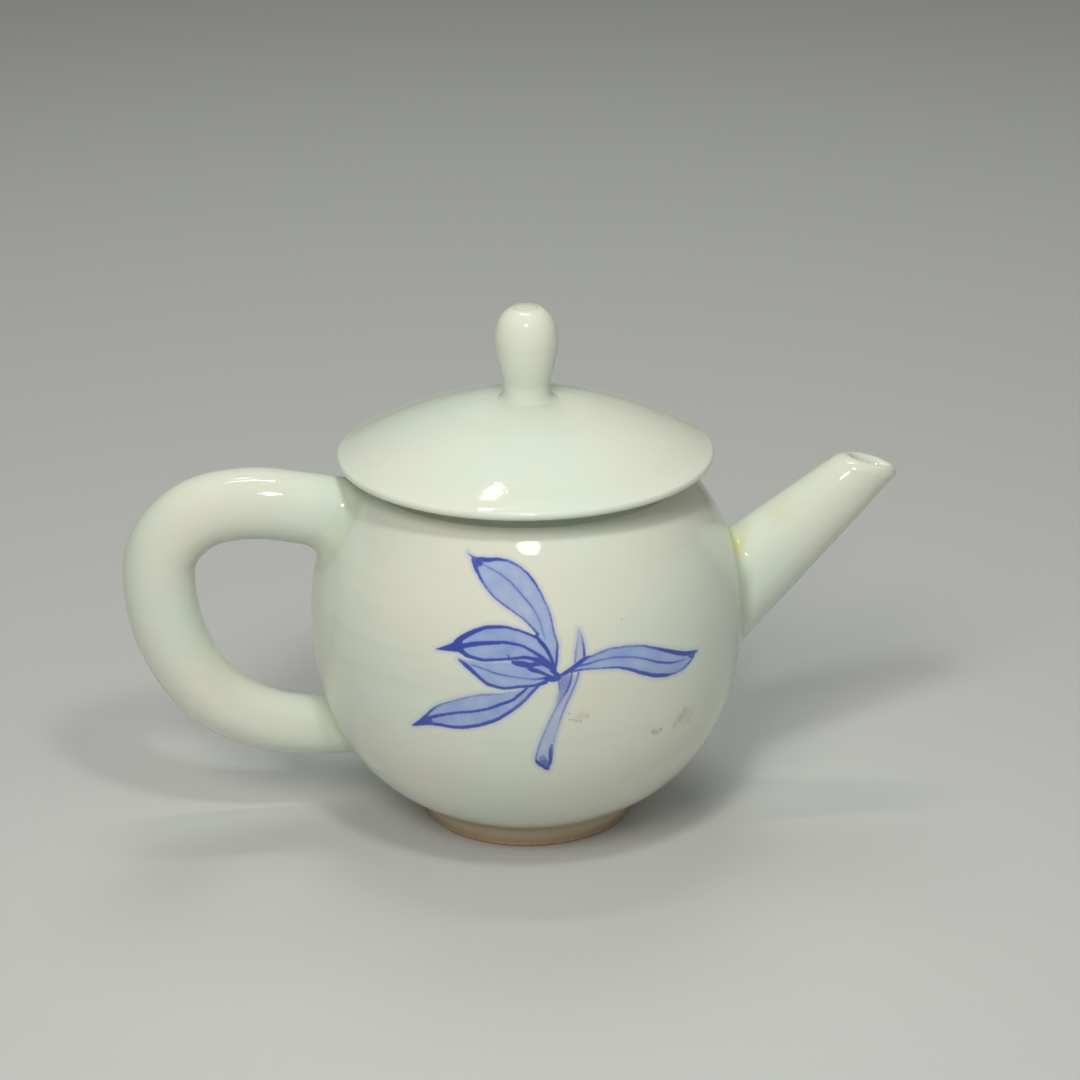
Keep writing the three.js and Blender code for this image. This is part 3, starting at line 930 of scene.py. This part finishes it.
RIGHT_LEAF = (
    0.7,
    [(0.6, 49.6), (3, 50.8), (6, 52.6), (9, 53.4), (13, 53.9), (17, 53.6), (21, 52.4), (25, 50.7),
     (29, 48.9), (33.3, 47.9)],
    [(0.6, 49), (9, 50.2), (13, 49.7), (17, 48.2), (21, 46.3), (25, 45.3), (29, 45.3), (31.5, 46.4),
     (33.3, 47.8)],
    [(0.6, 49.3, 0.7, 0.8), (2, 49.9, 0.8, 0.7), (4.8, 51.6, 1.0, 0.75), (6, 52.5, 0.8, 0.75),
     (7.4, 53, 0.5, 0.45)],
    [(6, 52.5, 0.5, 0.5), (8, 53.1, 0.45, 0.4), (10.4, 53.7, 0.45, 0.4), (13, 53.95, 0.45, 0.4),
     (18, 53.4, 0.45, 0.45), (20.4, 52.6, 0.5, 0.5), (24.8, 50.7, 0.8, 0.75), (29, 48.9, 1.0, 0.85),
     (31, 48.3, 0.9, 0.75), (33.8, 47.9, 0.2, 0.35)],
    [(4.4, 51.2, 0.6, 0.6), (6.4, 51.4, 0.5, 0.5), (11, 52, 0.45, 0.4), (13.4, 51.9, 0.45, 0.4),
     (15.6, 51.5, 0.45, 0.4), (18, 50.8, 0.45, 0.45), (24.6, 48.1, 0.55, 0.6), (26.6, 47.6, 0.5, 0.5),
     (30.4, 47.5, 0.3, 0.3)],
    [(2.4, 50, 0.5, 0.6), (4.6, 50.3, 0.5, 0.5), (7, 50.35, 0.45, 0.45), (12, 49.9, 0.5, 0.5),
     (14.4, 49.3, 0.6, 0.65), (19.2, 47.1, 0.8, 0.75), (24, 45.5, 0.8, 0.75), (26.2, 45.15, 0.55, 0.5),
     (28.2, 45.2, 0.5, 0.4), (30, 45.7, 0.5, 0.45), (32.8, 47.6, 0.6, 0.5)],
    [(30.6, 47.8, 0.5, 0.4), (31.8, 47.7, 1.2, 0.5), (33, 47.8, 0.6, 0.45)],
)
BUD = (
    0.45,
    [(5.35, 58.8), (6.25, 54.4), (6.3, 52), (5.4, 50)],
    [(5.35, 58.8), (4.9, 56.6), (4.4, 54.4), (4, 50)],
    [(5.3, 59, 0.25, 0.2), (5, 57, 0.35, 0.25), (4.3, 53.4, 0.4, 0.35), (4.2, 51.6, 0.4, 0.4)],
    [(5.4, 58.8, 0.25, 0.2), (5.9, 57, 0.4, 0.35), (6.15, 52.2, 0.6, 0.75)],
)
STEM = (
    0.46,
    [(4.9, 50.3), (4.2, 47.6), (1.7, 41.6), (0.6, 38.4), (-0.5, 30), (-1, 28)],
    [(0.6, 49), (1, 46.6), (0.6, 43.6), (-0.6, 40.6), (-1.9, 37.4), (-3.6, 32), (-3.3, 29.5)],
    [(0.8, 49, 0.6, 0.5), (1, 47.4, 0.55, 0.4), (1.1, 45.6, 0.5, 0.25)],
    [(3.4, 49.6, 0.8, 0.2), (2.3, 48.4, 1.7, 0.3), (1.8, 46.6, 1.4, 0.3), (0.2, 41.8, 0.8, 0.1)],
    [(1.9, 45.2, 0.4, 0.4), (0.2, 42.4, 0.45, 0.35), (-2.3, 36.4, 0.45, 0.3), (-3.5, 32.4, 0.45, 0.35),
     (-3.7, 30.8, 0.5, 0.55)],
    [(4.9, 50, 0.45, 0.45), (4.5, 48.4, 0.45, 0.4), (1.5, 41, 0.45, 0.35), (0.3, 36.6, 0.35, 0.25),
     (-0.2, 34.6, 0.4, 0.3)],
    [(-0.5, 34.4, 0.5, 0.35), (-0.7, 33, 0.8, 0.5), (-0.8, 30.2, 0.8, 0.6), (-1.2, 28.8, 0.7, 0.6),
     (-1.4, 27.9, 0.3, 0.6)],
    [(-3.9, 30.8, 0.4, 0.5), (-3.3, 29.9, 0.8, 0.85), (-2.4, 29.1, 0.8, 0.8), (-1.5, 28.4, 0.8, 0.7),
     (-0.9, 28, 0.4, 0.6)],
    [(3.6, 50.6, 0.5, 0.6), (3.3, 48.8, 0.5, 0.5), (2.9, 47.2, 0.55, 0.55), (1.6, 44.7, 0.4, 0.4)],
    [(-2.6, 31.8, 0.3, 0.25), (-2.3, 30.6, 1.3, 0.4), (-1.5, 28.4, 0.5, 0.5)],
)
LEAVES = [UPPER_LEAF, MIDDLE_LEAF, THIRD_LEAF, LOW_LEAF, RIGHT_LEAF, BUD, STEM]

# Each stain as (around, up, size, strength)
STAINS = [
    (3, 41, 0.3, 0.5), (3.1, 39.6, 0.3, 0.7), (3.7, 39.6, 0.28, 0.6), (4.4, 39.2, 0.4, 0.5),
    (5.3, 39.1, 0.5, 0.35), (5.4, 40.2, 1.4, 0.2), (6.7, 40.1, 0.4, 0.45), (22.2, 33.2, 0.6, 0.5),
    (23.1, 32.8, 0.7, 0.5), (24.1, 33.1, 0.6, 0.5), (29.6, 34.2, 1.5, 0.4), (30.6, 35.2, 1.3, 0.3),
    (32, 33.6, 2.2, 0.2), (28.2, 33, 1.1, 0.2), (14.9, 59.6, 0.25, 0.5),
]


def paint_place(tree, where):
    """The point on the unrolled belly, in millimetres: around, up, and a fixed 1."""
    parts = added(tree, "SeparateXYZ", None, {0: where}).outputs
    front = maths(tree, "MULTIPLY", parts["Y"], -1.0)
    angle = maths(tree, "ARCTAN2", parts["X"], front)
    around = maths(tree, "MULTIPLY", angle, BELLY_RADIUS)
    above = maths(tree, "SUBTRACT", parts["Z"], BELLY_HEIGHT)
    share = maths(tree, "DIVIDE", maths(tree, "MAXIMUM", above, 0.0), UPPER_DEPTH, clamp=True)
    along = maths(tree, "ARCSINE", share)
    middle_radius = (BELLY_RADIUS + UPPER_DEPTH) / 2
    below = maths(tree, "MINIMUM", above, 0.0)
    up = maths(tree, "MULTIPLY_ADD", along, middle_radius, below)
    up = maths(tree, "ADD", up, BELLY_HEIGHT)
    inputs = {"X": around, "Y": up, "Z": 1.0}
    return added(tree, "CombineXYZ", None, inputs).outputs[0]


class Chord:
    """The straight line from a stroke's first point to its last, as the stroke's own ruler."""

    def __init__(self, tree, place, first, last):
        self.start = np.array(first, float)
        run = np.array(last, float) - self.start
        self.length = float(np.linalg.norm(run))
        self.along = run / self.length
        self.across = np.array([-self.along[1], self.along[0]])
        self.tree = tree
        share = self.along / self.length
        self.share = dotted(tree, place, (*share, -float(self.start @ share)))
        self.aside = dotted(tree, place, (*self.across, -float(self.start @ self.across)))

    def measure(self, points):
        """Each point's share along the chord and its distance to the left of it."""
        moved = np.array(points, float) - self.start
        return moved @ self.along / self.length, moved @ self.across

    def curve(self, shares, values):
        """A curve over the chord, through the given values."""
        node = added(self.tree, "FloatCurve", None, {"Value": self.share})
        mapping = node.mapping
        mapping.use_clip = False
        mapping.extend = "HORIZONTAL"
        points = mapping.curves[0].points
        while len(points) < len(shares):
            points.new(0.5, 0.5)
        for point, share, value in zip(points, shares, values):
            point.location = (min(1.0, max(0.0, share)), value)
        mapping.update()
        return node.outputs[0]

    def ends(self):
        """Millimetres inside the nearer end of the chord."""
        away = maths(self.tree, "ABSOLUTE", maths(self.tree, "SUBTRACT", self.share, 0.5))
        return maths(self.tree, "MULTIPLY_ADD", away, -self.length, self.length / 2)


def stroke(tree, place, points, wobble):
    """How strongly one brush stroke colours the surface, and how far a point is inside it."""
    points = np.array(points, float)
    chord = Chord(tree, place, points[0, :2], points[-1, :2])
    shares, asides = chord.measure(points[:, :2])
    slopes = np.gradient(asides, shares * chord.length)
    spread = 1 + THIN_SPREAD * (1 - points[:, 3])
    widths = points[:, 2] / 2 * spread * np.sqrt(1 + slopes**2)
    middle = chord.curve(shares, asides)
    half = chord.curve(shares, widths)
    away = maths(tree, "ABSOLUTE", maths(tree, "SUBTRACT", chord.aside, middle))
    inside = maths(tree, "MINIMUM", maths(tree, "SUBTRACT", half, away), chord.ends())
    inside = maths(tree, "ADD", inside, wobble)
    strength = chord.curve(shares, np.minimum(1, points[:, 3] * THIN_DEPTH))
    return maths(tree, "MULTIPLY", faded(tree, inside, *LINE_EDGE), strength), inside


def wash(tree, place, strength, left, right):
    """How strongly the thin colour between two outlines colours the surface."""
    left, right = (np.array(line, float) for line in (left, right))
    chord = Chord(tree, place, (left[0] + right[0]) / 2, (left[-1] + right[-1]) / 2)
    from_left = maths(tree, "SUBTRACT", chord.curve(*chord.measure(left)), chord.aside)
    from_right = maths(tree, "SUBTRACT", chord.aside, chord.curve(*chord.measure(right)))
    inside = maths(tree, "MINIMUM", from_left, from_right)
    inside = maths(tree, "MINIMUM", inside, chord.ends())
    return faded(tree, inside, *WASH_EDGE, 0.0, strength)


def strongest(tree, shares):
    """The largest of several values."""
    found = shares[0]
    for share in shares[1:]:
        found = maths(tree, "MAXIMUM", found, share)
    return found


def leaf_spray(tree, where, base):
    """The brushed leaf spray: thin blue washes, darker lines over them, and small stains."""
    place = paint_place(tree, where)
    ragged = noise(tree, where, 3.2, 2.0)
    wobble = maths(tree, "MULTIPLY_ADD", ragged, 0.16, -0.08)
    washes = [wash(tree, place, *leaf[:3]) for leaf in LEAVES]
    patchy = faded(tree, noise(tree, where, 0.3, 1.5), 0.3, 0.72, 0.88, 1.1)
    thin = maths(tree, "MULTIPLY", strongest(tree, washes), patchy, clamp=True)
    depth = faded(tree, noise(tree, where, 0.22, 2.0), 0.35, 0.7)
    painted = blended(tree, thin, base, blended(tree, depth, WASH, WASH_DEEP))
    lines = [stroke(tree, place, points, wobble) for leaf in LEAVES for points in leaf[3:]]
    nearest = strongest(tree, [inside for _, inside in lines])
    bleeding = faded(tree, nearest, *HALO_EDGE, 0.0, 0.3)
    painted = blended(tree, bleeding, painted, HALO)
    streaks = faded(tree, noise(tree, where, 1.6, 3.0), 0.25, 0.75, 0.8, 1.12)
    inked = strongest(tree, [line for line, _ in lines])
    dark = maths(tree, "MULTIPLY", inked, streaks, clamp=True)
    ink = blended(tree, faded(tree, dark, 0.35, 0.9), LINE_THIN, LINE_DARK)
    cover = faded(tree, dark, 0.0, 0.6, 0.0, 0.96)
    painted = blended(tree, cover, painted, ink)
    return stained(tree, place, painted)


def stained(tree, place, base):
    """The small brown flecks that the kiln left in the glaze."""
    shares = []
    ragged = noise(tree, place, 1.4, 3.0)
    for around, up, size, strength in STAINS:
        away = distance(tree, place, (around, up, 1.0))
        away = maths(tree, "MULTIPLY_ADD", ragged, 1.6 * size, away)
        shares.append(faded(tree, away, 0.8 * size, 2.2 * size, strength, 0.0))
    return blended(tree, strongest(tree, shares), base, STAIN)


# ---------------- studio

CAMERA_DISTANCE = 0.6
CAMERA_AZIMUTH = math.radians(-7)
CAMERA_ELEVATION = math.radians(21.25)
CAMERA_ROLL = math.radians(-0.44)
CAMERA_TARGET = Vector((0.00549, -0.00036, 0.0606))
CAMERA_LENS = 95.03
POT_MIDDLE = Vector((0, 0, 0.06))
FLOOR_REACH = 6.0
WARM_LIGHT = colour(255, 250, 240)
COOL_LIGHT = colour(250, 255, 248)


def direction(azimuth, elevation):
    """The unit vector from the pot towards a place round it. Azimuth 0 is in front."""
    flat = math.cos(elevation)
    return Vector((math.sin(azimuth) * flat, -math.cos(azimuth) * flat, math.sin(elevation)))


def camera():
    """The camera, a little above the pot and a little to the left of its front."""
    back = direction(CAMERA_AZIMUTH, CAMERA_ELEVATION)
    right = Vector((math.cos(CAMERA_AZIMUTH), math.sin(CAMERA_AZIMUTH), 0))
    turn = Matrix((right, back.cross(right), back)).transposed()
    turn = turn @ Matrix.Rotation(CAMERA_ROLL, 3, "Z")
    data = bpy.data.cameras.new("camera")
    data.lens = CAMERA_LENS
    data.sensor_width = 36
    data.clip_start = 0.01
    seen_from = in_scene("camera", data)
    place = CAMERA_TARGET + back * CAMERA_DISTANCE
    seen_from.matrix_world = Matrix.Translation(place) @ turn.to_4x4()
    bpy.context.scene.camera = seen_from


def lamp(name, azimuth, elevation, reach, size, power, tint, shines=True):
    """An oval lamp that faces the pot. One that doesn't shine leaves no reflection."""
    data = bpy.data.lights.new(name, "AREA")
    data.shape = "ELLIPSE"
    data.size, data.size_y = size
    data.energy = power
    data.color = tint[:3]
    lit = in_scene(name, data)
    away = direction(math.radians(azimuth), math.radians(elevation))
    lit.location = POT_MIDDLE + away * reach
    lit.rotation_euler = away.to_track_quat("Z", "Y").to_euler()
    lit.visible_glossy = shines
    lit.visible_camera = False


def studio():
    """The pale floor, the soft sky and the lamps."""
    mesh = bpy.data.meshes.new("floor")
    corners = [(x * FLOOR_REACH, y * FLOOR_REACH, 0) for x, y in ((-1, -1), (1, -1), (1, 1), (-1, 1))]
    mesh.from_pydata(corners, [], [(0, 1, 2, 3)])
    floor = in_scene("floor", mesh)
    material, tree, shader = new_material("floor_paper")
    feed(tree, shader, {"Base Color": colour(200, 201, 202), "Roughness": 0.8})
    mesh.materials.append(material)
    floor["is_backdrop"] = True
    world = bpy.data.worlds.new("soft_sky")
    world.use_nodes = True
    sky = world.node_tree.nodes["Background"]
    feed(world.node_tree, sky, {"Color": colour(244, 246, 240), "Strength": 0.22})
    bpy.context.scene.world = world
    bpy.context.scene.view_settings.view_transform = "Standard"
    lamp("key", -24, 40, 1.0, (0.4, 0.4), 4.3, WARM_LIGHT, shines=False)
    lamp("fill", 40, 40, 1.0, (0.6, 0.6), 0.7, COOL_LIGHT, shines=False)
    lamp("rear", 175, 58, 1.0, (0.5, 0.5), 2.0, COOL_LIGHT, shines=False)
    lamp("near", -3, 53, 0.27, (0.036, 0.036), 0.18, COOL_LIGHT)
    lamp("back", -162, 71.5, 0.85, (0.07, 0.035), 0.1, COOL_LIGHT)
    lamp("strip", 180, 82.5, 0.8, (0.3, 0.03), 0.6, WARM_LIGHT)


camera()
plain_glaze = porcelain("white_glaze")
joint_glaze = porcelain("joint_glaze", gathered)
pot_body(porcelain("painted_glaze", leaf_spray), plain_glaze)
foot_ring(foot_material())
spout(porcelain("spout_glaze", yellowed))
handle(joint_glaze)
lid(plain_glaze)
lid_flange(plain_glaze)
lid_knob(joint_glaze)
studio()

visual_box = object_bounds()
boxes = {"cad": cad_box, "visual": visual_box}
{name: [list(corner) for corner in box] for name, box in boxes.items()}
